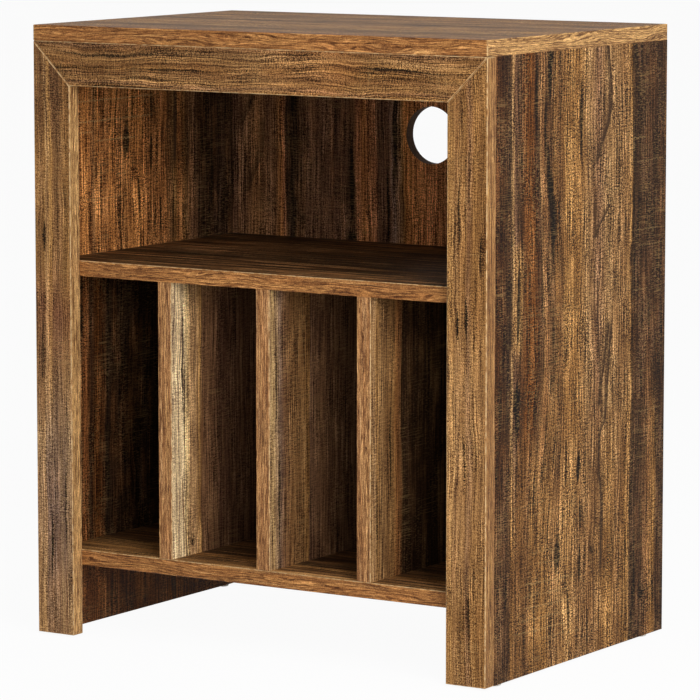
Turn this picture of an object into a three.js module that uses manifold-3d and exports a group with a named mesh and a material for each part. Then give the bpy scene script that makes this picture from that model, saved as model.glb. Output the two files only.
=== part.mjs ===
// Record storage stand in laminated board: a flat top, an open compartment with a cable hole,
// and four upright slots for records, on two side panels with nail-on glides.
// Millimetres. Seen from the front, +X is right, +Y is back and +Z is up.
// The origin lies on the floor under the middle of the stand.

import * as THREE from "three";
import { mergeVertices } from "three/addons/utils/BufferGeometryUtils.js";
import Module from "manifold-3d";

const wasm = await Module();
wasm.setup();

// Carcass
const carcassWidth = 600;
const carcassDepth = 400;
const carcassHeight = 700;
const boardThickness = 18;
const tapeThickness = 1;

// Front frame: two stiles and a header, mitred at the top corners
const frameThickness = 18;
const frameMemberWidth = 50;
const mitreGap = 0.3;

// Inside: open foot, record slots, and the compartment that is left above them
const footHeight = 80;
const recordHeight = 316;
const recordSlotWidth = 115;

// Back panel and its cable hole
const backThickness = 15;
const backInset = 10;
const cableHoleDiameter = 68;
const cableHoleRise = 5;

// Glides under the side panels
const glideDiameter = 14;
const glideHeight = 3;
const glideChamfer = 1;
const glideInset = 36;
const nailDiameter = 2;
const nailLength = 12;
const nailPoint = 2;

// Cam locks, and the bolts that they pull on
const fittingInset = 60;
const camDiameter = 15;
const camToEdge = 34;
const camCover = 5.5;
const camSlotLength = 9;
const camSlotWidth = 1.6;
const camSlotDepth = 2;
const boltThreadDiameter = 5;
const boltThreadCover = 7;
const boltShankDiameter = 7;
const boltNeckDiameter = 3.2;
const boltHeadDiameter = 5.6;
const boltHeadLength = 4.5;

// Countersunk screws into the dividers and through the back panel
const screwDiameter = 4;
const screwLength = 50;
const screwPoint = 5;
const screwHeadDiameter = 8;
const screwHeadDepth = 3;
const backScrewInset = 92;

// Splines behind the stiles, and biscuits in the mitres
const splineThickness = 4;
const splineWidth = 16;
const splineMargin = 60;
const biscuitThickness = 4;
const biscuitLength = 36;
const biscuitWidth = 18;

// Clearance round every fitting that sits in a board
const fittingGap = 0.3;

// How far a cutting shape runs out past the face that it opens
const cutOverrun = 2;

// Facets of round shapes, and the distance under which corners are one corner
const smallRoundSides = 12;
const camSides = 24;
const glideSides = 24;
const cableHoleSides = 48;
const weldDistance = 0.00001;

// Planes of the carcass
const halfWidth = carcassWidth / 2;
const innerX = halfWidth - boardThickness;
const frontY = -carcassDepth / 2;
const rearY = carcassDepth / 2;
const carcassFrontY = frontY + frameThickness;
const backRearY = rearY - backInset;
const backFrontY = backRearY - backThickness;
const footZ = glideHeight;
const topZ = footZ + carcassHeight;
const topUndersideZ = topZ - boardThickness;
const headerLowerZ = topUndersideZ - frameMemberWidth;
const bottomShelfZ = footZ + footHeight;
const slotFloorZ = bottomShelfZ + boardThickness;
const upperShelfZ = slotFloorZ + recordHeight;
const compartmentFloorZ = upperShelfZ + boardThickness;

// Centre planes and rows that boards and fittings share
const sideCentreX = halfWidth - boardThickness / 2;
const frameCentreY = frontY + frameThickness / 2;
const dividerPitch = recordSlotWidth + boardThickness;
const cableHoleZ = (compartmentFloorZ + topUndersideZ) / 2 + cableHoleRise;
const camThickness = boardThickness - camCover;
const boltThreadLength = boardThickness - boltThreadCover;

const sides = [
  { name: "left", sign: -1 },
  { name: "right", sign: 1 },
];

const dividers = [
  { name: "left_divider", x: -dividerPitch },
  { name: "centre_divider", x: 0 },
  { name: "right_divider", x: dividerPitch },
];

const shelves = [
  { name: "upper_shelf", z: upperShelfZ },
  { name: "bottom_shelf", z: bottomShelfZ },
];

const fittingRows = [
  { name: "front", y: carcassFrontY + fittingInset },
  { name: "rear", y: backFrontY - fittingInset },
];

const glideRows = [
  { name: "front", y: frontY + glideInset },
  { name: "rear", y: rearY - glideInset },
];

const laminate = new THREE.MeshStandardMaterial({ color: 0x835f3c, roughness: 0.6, metalness: 0 });
const edgeTape = new THREE.MeshStandardMaterial({ color: 0xa07350, roughness: 0.5, metalness: 0 });
const zincPlate = new THREE.MeshStandardMaterial({ color: 0xb8b8b4, roughness: 0.35, metalness: 0.9 });
const whiteNylon = new THREE.MeshStandardMaterial({ color: 0xe4e2dc, roughness: 0.45, metalness: 0 });
const bareWood = new THREE.MeshStandardMaterial({ color: 0xcfae7e, roughness: 0.8, metalness: 0 });

const stand = new THREE.Group();

// The fittings leave the shapes of their bores here, under the name of the board to be cut.
const cutsOf = new Map();

function cutInto(boardName, solid) {
  const cuts = cutsOf.get(boardName) ?? [];
  cuts.push(solid);
  cutsOf.set(boardName, cuts);
}

// ---- Solids

function solidOf(geometry) {
  const bare = geometry.clone();
  bare.deleteAttribute("normal");
  bare.deleteAttribute("uv");
  const welded = mergeVertices(bare, weldDistance);
  const corners = welded.index.array;
  const triangles = [];
  for (let first = 0; first < corners.length; first += 3) {
    const [a, b, c] = corners.slice(first, first + 3);
    if (a !== b && b !== c && c !== a) {
      triangles.push(a, b, c);
    }
  }
  return new wasm.Manifold(new wasm.Mesh({
    numProp: 3,
    vertProperties: welded.attributes.position.array,
    triVerts: Uint32Array.from(triangles),
  }));
}

function boxBetween(low, high) {
  const box = new THREE.BoxGeometry(high[0] - low[0], high[1] - low[1], high[2] - low[2]);
  box.translate((low[0] + high[0]) / 2, (low[1] + high[1]) / 2, (low[2] + high[2]) / 2);
  return box;
}

// A round shape about the Z axis, from pairs of radius and height.
function turnedShape(profile, roundSides) {
  const points = profile.map(([radius, height]) => new THREE.Vector2(radius, height));
  return new THREE.LatheGeometry(points, roundSides).rotateX(Math.PI / 2);
}

// A plate from an outline of X and Z pairs, between two depths.
function plateAcross(outline, lowY, highY) {
  const shape = new THREE.Shape(outline.map(([x, z]) => new THREE.Vector2(x, z)));
  const plate = new THREE.ExtrudeGeometry(shape, { depth: highY - lowY, bevelEnabled: false });
  return plate.rotateX(Math.PI / 2).translate(0, highY, 0);
}

function addPiece(parent, name, solid, anchor, material) {
  const { vertProperties, triVerts } = solid.getMesh();
  const geometry = new THREE.BufferGeometry();
  geometry.setAttribute("position", new THREE.BufferAttribute(vertProperties, 3));
  geometry.setIndex(new THREE.BufferAttribute(triVerts, 1));
  geometry.translate(-anchor.x, -anchor.y, -anchor.z);
  geometry.computeVertexNormals();
  const piece = new THREE.Mesh(geometry, material);
  piece.name = name;
  piece.position.copy(anchor);
  parent.add(piece);
}

// A board keeps its own centre as its place, and loses the bores that the fittings left for it.
function addBoard(name, blank) {
  blank.computeBoundingBox();
  const centre = blank.boundingBox.getCenter(new THREE.Vector3());
  let board = solidOf(blank);
  for (const cut of cutsOf.get(name) ?? []) {
    board = board.subtract(cut);
  }
  addPiece(stand, name, board, centre, laminate);
}

// ---- Cam locks and bolts
// A fitting's own Z runs from the joint along the bolt to the cam, and its X out of the cam's mouth.

function fittingPlace(origin, alongBolt, outOfMouth) {
  const across = new THREE.Vector3().crossVectors(alongBolt, outOfMouth);
  const place = new THREE.Matrix4().makeBasis(outOfMouth, across, alongBolt);
  return place.setPosition(origin);
}

const boltHeadTop = camToEdge + boltHeadLength / 2;
const boltHeadBase = camToEdge - boltHeadLength / 2;
const boltShankTop = camToEdge - camDiameter / 2 - fittingGap;

function makeBolt() {
  return solidOf(turnedShape([
    [0, -boltThreadLength],
    [boltThreadDiameter / 2, -boltThreadLength],
    [boltThreadDiameter / 2, 0],
    [boltShankDiameter / 2, 0],
    [boltShankDiameter / 2, boltShankTop],
    [boltNeckDiameter / 2, boltShankTop],
    [boltNeckDiameter / 2, boltHeadBase],
    [boltHeadDiameter / 2, boltHeadBase],
    [boltHeadDiameter / 2, boltHeadTop],
    [0, boltHeadTop],
  ], smallRoundSides));
}

function camBlank(radius, thickness, overrun) {
  const length = thickness + overrun;
  const blank = new THREE.CylinderGeometry(radius, radius, length, camSides);
  const middle = boardThickness / 2 - thickness + length / 2;
  return blank.rotateZ(Math.PI / 2).translate(middle, 0, camToEdge);
}

function boltChannel(diameter, from, to) {
  const radius = diameter / 2 + fittingGap;
  const channel = new THREE.CylinderGeometry(radius, radius, to - from, smallRoundSides);
  return channel.rotateX(Math.PI / 2).translate(0, 0, (from + to) / 2);
}

function makeCam() {
  const mouthX = boardThickness / 2;
  const headEntry = boltChannel(boltHeadDiameter, camToEdge - camDiameter, boltHeadTop + fittingGap);
  const driverSlot = boxBetween(
    [mouthX - camSlotDepth, -camSlotWidth / 2, camToEdge - camSlotLength / 2],
    [mouthX + cutOverrun, camSlotWidth / 2, camToEdge + camSlotLength / 2],
  );
  const blank = solidOf(camBlank(camDiameter / 2, camThickness, 0));
  return blank.subtract(solidOf(headEntry)).subtract(solidOf(driverSlot));
}

function addCamFitting(name, place, camBoard, boltBoard) {
  const fitting = new THREE.Group();
  fitting.applyMatrix4(place);
  addPiece(fitting, `${name}_cam`, makeCam(), new THREE.Vector3(), zincPlate);
  addPiece(fitting, `${name}_bolt`, makeBolt(), new THREE.Vector3(), zincPlate);
  stand.add(fitting);

  const camBore = camBlank(camDiameter / 2 + fittingGap, camThickness + fittingGap, cutOverrun);
  const shankBore = boltChannel(boltShankDiameter, -cutOverrun, camToEdge);
  const threadEnd = -boltThreadLength - fittingGap;
  const threadBore = boltChannel(boltThreadDiameter, threadEnd, cutOverrun);
  cutInto(camBoard, solidOf(camBore.applyMatrix4(place)));
  cutInto(camBoard, solidOf(shankBore.applyMatrix4(place)));
  cutInto(boltBoard, solidOf(threadBore.applyMatrix4(place)));
}

// The top is drawn down onto the side panels. The cams' mouths are in the inner faces of the
// sides, behind the header.
function addTopFittings(side, row) {
  const origin = new THREE.Vector3(side.sign * sideCentreX, row.y, topUndersideZ);
  const down = new THREE.Vector3(0, 0, -1);
  const inward = new THREE.Vector3(-side.sign, 0, 0);
  const place = fittingPlace(origin, down, inward);
  addCamFitting(`top_${side.name}_${row.name}`, place, `${side.name}_side_panel`, "top_panel");
}

// The shelves hang between the side panels, with the cams' mouths in their undersides.
function addShelfFittings(shelf, side, row) {
  const origin = new THREE.Vector3(side.sign * innerX, row.y, shelf.z + boardThickness / 2);
  const inward = new THREE.Vector3(-side.sign, 0, 0);
  const down = new THREE.Vector3(0, 0, -1);
  const place = fittingPlace(origin, inward, down);
  addCamFitting(`${shelf.name}_${side.name}_${row.name}`, place, shelf.name, `${side.name}_side_panel`);
}

// ---- Countersunk screws
// A screw's own Z runs from the face of its head to its point.

function makeScrew() {
  return solidOf(turnedShape([
    [0, 0],
    [screwHeadDiameter / 2, 0],
    [screwDiameter / 2, screwHeadDepth],
    [screwDiameter / 2, screwLength - screwPoint],
    [0, screwLength],
  ], smallRoundSides));
}

function screwBore() {
  return turnedShape([
    [0, -cutOverrun],
    [screwHeadDiameter / 2 + fittingGap, -cutOverrun],
    [screwHeadDiameter / 2 + fittingGap, 0],
    [screwDiameter / 2 + fittingGap, screwHeadDepth + fittingGap],
    [screwDiameter / 2 + fittingGap, screwLength + fittingGap],
    [0, screwLength + fittingGap],
  ], smallRoundSides);
}

function addScrew(name, place, boards) {
  const seat = new THREE.Group();
  seat.applyMatrix4(place);
  addPiece(seat, name, makeScrew(), new THREE.Vector3(), zincPlate);
  stand.add(seat);
  for (const board of boards) {
    cutInto(board, solidOf(screwBore().applyMatrix4(place)));
  }
}

function addDividerScrew(divider, row) {
  const place = new THREE.Matrix4().makeTranslation(divider.x, row.y, bottomShelfZ);
  addScrew(`${divider.name}_${row.name}_screw`, place, ["bottom_shelf", divider.name]);
}

function addBackScrew(shelf, side) {
  const place = new THREE.Matrix4().makeRotationX(Math.PI / 2);
  const x = side.sign * (innerX - backScrewInset);
  place.setPosition(x, backRearY, shelf.z + boardThickness / 2);
  addScrew(`back_${shelf.name}_${side.name}_screw`, place, ["back_panel", shelf.name]);
}

// ---- Glides
// One moulding with its nail, driven into the lower edge of a side panel.

function addGlide(side, row) {
  const anchor = new THREE.Vector3(side.sign * sideCentreX, row.y, 0);
  const nailTop = glideHeight + nailLength;
  const glide = turnedShape([
    [0, 0],
    [glideDiameter / 2 - glideChamfer, 0],
    [glideDiameter / 2, glideChamfer],
    [glideDiameter / 2, glideHeight],
    [nailDiameter / 2, glideHeight],
    [nailDiameter / 2, nailTop - nailPoint],
    [0, nailTop],
  ], glideSides);
  glide.translate(anchor.x, anchor.y, anchor.z);
  addPiece(stand, `${side.name}_${row.name}_glide`, solidOf(glide), anchor, whiteNylon);

  const boreRadius = nailDiameter / 2 + fittingGap;
  const boreLength = nailLength + fittingGap + cutOverrun;
  const bore = new THREE.CylinderGeometry(boreRadius, boreRadius, boreLength, smallRoundSides);
  bore.rotateX(Math.PI / 2).translate(anchor.x, anchor.y, footZ - cutOverrun + boreLength / 2);
  cutInto(`${side.name}_side_panel`, solidOf(bore));
}

// ---- Splines and biscuits

function splineBox(side, extra) {
  const centreX = side.sign * sideCentreX;
  return boxBetween(
    [
      centreX - splineThickness / 2 - extra,
      carcassFrontY - splineWidth / 2 - extra,
      footZ + splineMargin - extra,
    ],
    [
      centreX + splineThickness / 2 + extra,
      carcassFrontY + splineWidth / 2 + extra,
      headerLowerZ - splineMargin + extra,
    ],
  );
}

function addSpline(side) {
  const anchor = new THREE.Vector3(side.sign * sideCentreX, carcassFrontY, footZ + splineMargin);
  addPiece(stand, `${side.name}_stile_spline`, solidOf(splineBox(side, 0)), anchor, bareWood);
  cutInto(`${side.name}_stile`, solidOf(splineBox(side, fittingGap)));
  cutInto(`${side.name}_side_panel`, solidOf(splineBox(side, fittingGap)));
}

function biscuitBlock(extra) {
  return new THREE.BoxGeometry(
    biscuitLength + 2 * extra,
    biscuitThickness + 2 * extra,
    biscuitWidth + 2 * extra,
  );
}

function addBiscuit(side) {
  const seat = new THREE.Group();
  const middleX = side.sign * (halfWidth - frameMemberWidth / 2);
  seat.position.set(middleX, frameCentreY, topUndersideZ - frameMemberWidth / 2);
  seat.rotation.y = -side.sign * Math.PI / 4;
  seat.updateMatrix();
  addPiece(seat, `${side.name}_mitre_biscuit`, solidOf(biscuitBlock(0)), new THREE.Vector3(), bareWood);
  stand.add(seat);
  for (const member of [`${side.name}_stile`, "header_rail"]) {
    cutInto(member, solidOf(biscuitBlock(fittingGap).applyMatrix4(seat.matrix)));
  }
}

// ---- Boards

function addSidePanel(side) {
  const xs = [side.sign * innerX, side.sign * halfWidth].sort((a, b) => a - b);
  const blank = boxBetween([xs[0], carcassFrontY, footZ], [xs[1], rearY, topUndersideZ]);
  addBoard(`${side.name}_side_panel`, blank);
}

function addStile(side) {
  const outerX = side.sign * halfWidth;
  const stileInnerX = side.sign * (halfWidth - frameMemberWidth);
  const mitreDrop = mitreGap * Math.SQRT2;
  const outline = [
    [outerX, footZ],
    [stileInnerX, footZ],
    [stileInnerX, headerLowerZ - mitreDrop],
    [outerX, topUndersideZ - mitreDrop],
  ];
  addBoard(`${side.name}_stile`, plateAcross(outline, frontY, carcassFrontY));
}

function addHeaderRail() {
  const headerInnerX = halfWidth - frameMemberWidth;
  const outline = [
    [-halfWidth, topUndersideZ],
    [-headerInnerX, headerLowerZ],
    [headerInnerX, headerLowerZ],
    [halfWidth, topUndersideZ],
  ];
  addBoard("header_rail", plateAcross(outline, frontY, carcassFrontY));
}

function addTopPanel() {
  const blank = boxBetween(
    [-halfWidth + tapeThickness, frontY + tapeThickness, topUndersideZ],
    [halfWidth - tapeThickness, rearY, topZ],
  );
  addBoard("top_panel", blank);
}

// One run of tape round the left end, the front edge and the right end of the top.
function addTopEdgeTape() {
  const tapedX = halfWidth - tapeThickness;
  const tapedFrontY = frontY + tapeThickness;
  const outline = new THREE.Shape([
    new THREE.Vector2(-halfWidth, frontY),
    new THREE.Vector2(halfWidth, frontY),
    new THREE.Vector2(halfWidth, rearY),
    new THREE.Vector2(tapedX, rearY),
    new THREE.Vector2(tapedX, tapedFrontY),
    new THREE.Vector2(-tapedX, tapedFrontY),
    new THREE.Vector2(-tapedX, rearY),
    new THREE.Vector2(-halfWidth, rearY),
  ]);
  const tape = new THREE.ExtrudeGeometry(outline, { depth: boardThickness, bevelEnabled: false });
  tape.translate(0, 0, topUndersideZ);
  const anchor = new THREE.Vector3(0, frontY, topUndersideZ + boardThickness / 2);
  addPiece(stand, "top_edge_tape", solidOf(tape), anchor, edgeTape);
}

function addFrontTape(boardName, low, high) {
  const anchor = new THREE.Vector3((low[0] + high[0]) / 2, low[1], (low[2] + high[2]) / 2);
  addPiece(stand, `${boardName}_edge_tape`, solidOf(boxBetween(low, high)), anchor, edgeTape);
}

function addShelf(shelf) {
  const tapedFrontY = carcassFrontY + tapeThickness;
  const shelfTopZ = shelf.z + boardThickness;
  addBoard(shelf.name, boxBetween([-innerX, tapedFrontY, shelf.z], [innerX, backFrontY, shelfTopZ]));
  addFrontTape(shelf.name, [-innerX, carcassFrontY, shelf.z], [innerX, tapedFrontY, shelfTopZ]);
}

function addDivider(divider) {
  const tapedFrontY = carcassFrontY + tapeThickness;
  const lowX = divider.x - boardThickness / 2;
  const highX = divider.x + boardThickness / 2;
  addBoard(divider.name, boxBetween([lowX, tapedFrontY, slotFloorZ], [highX, backFrontY, upperShelfZ]));
  addFrontTape(divider.name, [lowX, carcassFrontY, slotFloorZ], [highX, tapedFrontY, upperShelfZ]);
}

function addBackPanel() {
  const radius = cableHoleDiameter / 2;
  const length = backThickness + 2 * cutOverrun;
  const cableHole = new THREE.CylinderGeometry(radius, radius, length, cableHoleSides);
  cableHole.translate(0, (backFrontY + backRearY) / 2, cableHoleZ);
  cutInto("back_panel", solidOf(cableHole));
  addBoard("back_panel", boxBetween([-innerX, backFrontY, bottomShelfZ], [innerX, backRearY, topUndersideZ]));
}

// ---- Assembly: the fittings first, because they leave their bores for the boards

for (const side of sides) {
  for (const row of fittingRows) {
    addTopFittings(side, row);
    for (const shelf of shelves) {
      addShelfFittings(shelf, side, row);
    }
  }
  for (const row of glideRows) {
    addGlide(side, row);
  }
  for (const shelf of shelves) {
    addBackScrew(shelf, side);
  }
  addSpline(side);
  addBiscuit(side);
}

for (const divider of dividers) {
  for (const row of fittingRows) {
    addDividerScrew(divider, row);
  }
}

for (const side of sides) {
  addSidePanel(side);
  addStile(side);
}
for (const shelf of shelves) {
  addShelf(shelf);
}
for (const divider of dividers) {
  addDivider(divider);
}
addHeaderRail();
addTopPanel();
addTopEdgeTape();
addBackPanel();

export default stand;
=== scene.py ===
# Record storage stand in wood-grain laminated board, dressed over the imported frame.
# Metres, in the frame's own axes: +X right, +Y back, +Z up, with the origin on the floor.
import math

import bmesh
import bpy
from mathutils import Matrix, Vector


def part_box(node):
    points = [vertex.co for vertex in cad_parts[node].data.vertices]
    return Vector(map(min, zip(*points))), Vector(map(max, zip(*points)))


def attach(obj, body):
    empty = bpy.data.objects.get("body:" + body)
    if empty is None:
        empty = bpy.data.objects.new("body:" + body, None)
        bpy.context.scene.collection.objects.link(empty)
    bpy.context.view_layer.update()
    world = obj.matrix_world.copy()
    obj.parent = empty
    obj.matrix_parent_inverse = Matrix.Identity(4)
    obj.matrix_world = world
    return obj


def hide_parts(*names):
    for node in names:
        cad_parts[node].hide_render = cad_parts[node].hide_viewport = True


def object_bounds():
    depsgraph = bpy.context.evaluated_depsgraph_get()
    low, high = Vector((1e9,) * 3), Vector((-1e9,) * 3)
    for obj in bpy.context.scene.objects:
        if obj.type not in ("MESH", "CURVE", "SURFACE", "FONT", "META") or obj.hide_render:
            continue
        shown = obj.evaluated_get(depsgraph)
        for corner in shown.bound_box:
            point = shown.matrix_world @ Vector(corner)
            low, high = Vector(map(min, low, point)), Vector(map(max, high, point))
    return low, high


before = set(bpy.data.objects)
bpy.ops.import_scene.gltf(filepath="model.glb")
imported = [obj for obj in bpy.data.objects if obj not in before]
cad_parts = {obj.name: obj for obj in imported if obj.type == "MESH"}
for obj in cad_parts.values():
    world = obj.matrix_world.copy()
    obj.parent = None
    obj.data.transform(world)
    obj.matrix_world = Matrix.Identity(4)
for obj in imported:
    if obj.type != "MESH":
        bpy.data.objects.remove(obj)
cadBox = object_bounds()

print("frame loaded:", len(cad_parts), "nodes")

# Tones of the print, as they look in plain light, from dark to pale. Other finishes give their own.
tones = {
    "black": "120d09",
    "char": "2a1d13",
    "bark": "352114",
    "umber": "3b2817",
    "loam": "3e2a1d",
    "peat": "442612",
    "coffee": "48301e",
    "walnut": "543820",
    "russet": "573114",
    "cocoa": "5a3c2a",
    "plum": "5a4032",
    "bronze": "644326",
    "mocha": "664731",
    "rust": "6e4020",
    "hazel": "6f4b28",
    "acorn": "745136",
    "saddle": "7a5230",
    "drift": "7a5f4c",
    "oak": "7c5733",
    "teak": "825a30",
    "tan": "8b6740",
    "clay": "8c5a30",
    "amber": "8c6234",
    "gold": "946b3e",
    "chestnut": "9c6436",
    "sand": "9c7c58",
    "cedar": "a36c47",
    "honey": "a67944",
    "fawn": "b0875a",
    "oat": "b3905e",
    "copper": "b5763e",
    "straw": "c4a36e",
    "ginger": "cf8852",
    "cream": "dcbe8f",
}


def paint(name):
    code = tones.get(name, name)
    parts = [int(code[at:at + 2], 16) / 255 for at in (0, 2, 4)]
    linear = [part / 12.92 if part <= 0.04045 else ((part + 0.055) / 1.055) ** 2.4 for part in parts]
    return (*linear, 1.0)


# Nodes, written as Python sums


class Wire:  # one output of a node, which can be added and scaled
    def __init__(self, sheet, socket):
        self.sheet = sheet
        self.socket = socket

    def maths(self, operation, *terms):
        settings = {"operation": operation}
        return self.sheet.node("ShaderNodeMath", settings, dict(enumerate(terms)))

    def __add__(self, other):
        return self.maths("ADD", self, other)

    def __radd__(self, other):
        return self.maths("ADD", other, self)

    def __sub__(self, other):
        return self.maths("SUBTRACT", self, other)

    def __rsub__(self, other):
        return self.maths("SUBTRACT", other, self)

    def __mul__(self, other):
        return self.maths("MULTIPLY", self, other)

    def __rmul__(self, other):
        return self.maths("MULTIPLY", other, self)

    def __truediv__(self, other):
        return self.maths("DIVIDE", self, other)

    def __rtruediv__(self, other):
        return self.maths("DIVIDE", other, self)

    def __neg__(self):
        return self.maths("MULTIPLY", self, -1.0)

    def __abs__(self):
        return self.maths("ABSOLUTE", self)

    def atLeast(self, other):
        return self.maths("MAXIMUM", self, other)

    def atMost(self, other):
        return self.maths("MINIMUM", self, other)

    def clamped(self):
        return self.sheet.node("ShaderNodeClamp", {}, {0: self})


shadePowers = {  # how fast red, green and blue follow a shade
    "darker": (2.1, 2.4, 2.1),
    "lighter": (1.85, 2.05, 2.3),
    "darkest": 0.12,
}


class NodeSheet:  # a node tree, and the one way in which nodes are put on it
    def __init__(self, tree):
        self.tree = tree

    def node(self, kind, settings=None, sockets=None, output=0):
        made = self.tree.nodes.new(kind)
        for key, value in (settings or {}).items():
            if key == "stops":
                self.setStops(made.color_ramp, value)
            elif key == "choices":
                while len(made.index_switch_items) < value:
                    made.index_switch_items.new()
            elif key == "points":
                self.setPoints(made.mapping, value)
            else:
                setattr(made, key, value)
        for key, value in (sockets or {}).items():
            if isinstance(value, list):
                for wire in value:
                    self.tree.links.new(wire.socket, made.inputs[key])
            elif isinstance(value, Wire):
                self.tree.links.new(value.socket, made.inputs[key])
            else:
                made.inputs[key].default_value = value
        return Wire(self, made.outputs[output]) if len(made.outputs) else None

    def setStops(self, ramp, stops):
        while len(ramp.elements) < len(stops):
            ramp.elements.new(1.0)
        for element, (place, colour) in zip(ramp.elements, stops):
            element.position = place
            element.color = colour

    def setPoints(self, mapping, points):
        curve = mapping.curves[0]
        while len(curve.points) < len(points):
            curve.points.new(1.0, 1.0)
        for point, place in zip(curve.points, points):
            point.location = place
        mapping.update()

    def blend(self, share, first, second, mode="MIX"):
        settings = {"data_type": "RGBA", "blend_type": mode, "clamp_factor": True}
        return self.node("ShaderNodeMix", settings, {0: share, 6: first, 7: second}, 2)

    def step(self, value, low, high):  # 0 below low, 1 above high, smooth between
        limits = {0: value, 1: low, 2: high, 3: 0.0, 4: 1.0}
        return self.node("ShaderNodeMapRange", {"interpolation_type": "SMOOTHSTEP"}, limits)

    def contrast(self, value, spread=0.17):  # spread out round 0, from -0.5 to 0.5
        return self.step(value, 0.5 - spread, 0.5 + spread) - 0.5

    def ramp(self, value, marks):  # a colour for each place in millimetres
        low = marks[0][0]
        high = marks[-1][0]
        stops = [((place - low) / (high - low), paint(tone)) for place, tone in marks]
        return self.node("ShaderNodeValToRGB", {"stops": stops}, {0: (value - low) / (high - low)})

    def course(self, value, points):  # a smooth line through (along, across) points
        low = points[0][0]
        high = points[-1][0]
        least = min(across for _, across in points) - 1
        most = max(across for _, across in points) + 1
        scaled = [((at - low) / (high - low), (across - least) / (most - least)) for at, across in points]
        sockets = {0: 1.0, 1: (value - low) / (high - low)}
        bend = self.node("ShaderNodeFloatCurve", {"points": scaled}, sockets)
        return bend * (most - least) + least

    def noise(self, first, second, detail=1.0, seed=0.0):
        place = self.node("ShaderNodeCombineXYZ", {}, {0: first + seed * 7.31, 1: second + seed * 3.77})
        settings = {"noise_dimensions": "2D"}
        return self.node("ShaderNodeTexNoise", settings, {"Vector": place, "Scale": 1.0, "Detail": detail})

    def pattern(self, table, kind, across, along, seed, scale=1.0):  # each row takes the next seed
        wide, long, detail, *limits = table[kind]
        order = list(table).index(kind)
        value = self.noise(across / (wide * scale), along / long, detail, seed + order)
        return self.step(value, *limits) if limits else value

    def shaded(self, colour, shade):  # darker and more like plum below 0, lighter and warmer above it
        darker = (shade.atMost(0.0) + 1.0).atLeast(shadePowers["darkest"])
        lighter = shade.atLeast(0.0) + 1.0
        light = [
            darker.maths("POWER", darker, low) * lighter.maths("POWER", lighter, high)
            for low, high in zip(shadePowers["darker"], shadePowers["lighter"])
        ]
        lightColour = self.node("ShaderNodeCombineColor", {}, dict(enumerate(light)))
        return self.blend(1.0, colour, lightColour, "MULTIPLY")

    def millimetres(self):  # the place on the piece, as three wires
        place = self.node("ShaderNodeTexCoord", {}, {}, 3)
        scaled = self.node("ShaderNodeVectorMath", {"operation": "SCALE"}, {0: place, 3: 1000.0})
        return [self.node("ShaderNodeSeparateXYZ", {}, {0: scaled}, axis) for axis in range(3)]


def newMaterial(name):
    material = bpy.data.materials.new(name)
    material.use_nodes = True
    material.node_tree.nodes.clear()
    return material, NodeSheet(material.node_tree)


def finishMaterial(sheet, colour, roughness, height, bump, constants):
    # bump is a pair: strength and depth in metres
    sockets = {"Strength": bump[0], "Distance": bump[1], "Height": height}
    normal = sheet.node("ShaderNodeBump", {}, sockets)
    surface = {"Base Color": colour, "Roughness": roughness, "Normal": normal, **constants}
    shader = sheet.node("ShaderNodeBsdfPrincipled", {}, surface)
    sheet.node("ShaderNodeOutputMaterial", {}, {0: shader})


# The laminate print

laminateSettings = {
    "wobble": 9.0,  # how far the bands wander, in millimetres
    "lowRagged": 200.0,  # how ragged the line is where the lower bands begin
    "grain": 1.0,  # how coarse the grain is
    "depth": 1.0,  # how strong it is
    "wideStreak": 0.22,
    "midStreak": 0.36,
    "fineStreak": 0.55,
    "speckle": 0.55,
    "crossMark": 0.3,
    "figure": 0.14,
    "rustShare": 0.3,
    "darkLines": 0.32,
    "paleLines": 0.1,
    "sawLines": 0.22,
    "threads": 0.16,
    "specular": 0.05,
    "roughness": 0.55,
    "bump": (0.35, 0.0004),
}

# Sizes across and along the grain in millimetres, detail, and for marks on plain ground
# the values between which they come out
printGrain = {
    "slow": (60.0, 150.0, 1.0),
    "quick": (12.0, 26.0, 1.0),
    "wide": (7.0, 260.0, 2.0),
    "middle": (2.6, 150.0, 2.0),
    "fine": (1.3, 64.0, 1.0),
    "speckle": (1.6, 1.7, 1.0),
    "crossMark": (10.0, 1.6, 1.0),
    "figure": (26.0, 40.0, 2.0),
    "sawLine": (40.0, 1.0, 0.0, 0.62, 0.72),
    "sawn": (50.0, 60.0, 1.0, 0.5, 0.66),
    "darkLine": (1.9, 120.0, 1.0, 0.56, 0.64),
    "paleLine": (2.4, 130.0, 1.0, 0.55, 0.66),
    "zone": (22.0, 80.0, 2.0, 0.35, 0.65),
    "thread": (5.0, 1.3, 1.0, 0.56, 0.66),
}

markSettings = {  # in millimetres, but for the shares
    "steepness": 4.0,  # how soon a mark reaches its full tone
    "crackSpread": 1.6,
    "veinOutline": 0.95,
    "veinOutlineWidth": 1.3,
    "scratchWidth": 0.9,
    "driftRagged": 120.0,
}

# From the frame's origin to the stand's front left lower corner of board, in millimetres
boardCorner = {
    "x": round(-1000 * cadBox[0][0], 3),
    "y": round(-1000 * cadBox[0][1], 3),
    "z": round(-1000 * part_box("left_side_panel")[0][2], 3),
}


def onAxis(axes, name, shift=0.0):
    return axes["xyz".index(name)] + (boardCorner[name] + shift)


def bell(along, low, high):  # 1 in the middle of a stretch, 0 at its ends and less outside
    middle = (low + high) / 2
    half = (high - low) / 2
    reach = (along - middle) / half
    return 1.0 - reach * reach


def crackMask(sheet, bent, along, crack):
    across, low, high, width = crack
    shape = bell(along, low, high) - abs(bent - across) / (width * markSettings["crackSpread"])
    return (shape * markSettings["steepness"]).clamped()


def knotMask(sheet, bent, along, knot):
    across, at, wide, tall = knot
    sideways = (bent - across) / wide
    lengthways = (along - at) / tall
    return ((1.0 - sideways * sideways - lengthways * lengthways) * markSettings["steepness"]).clamped()


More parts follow.
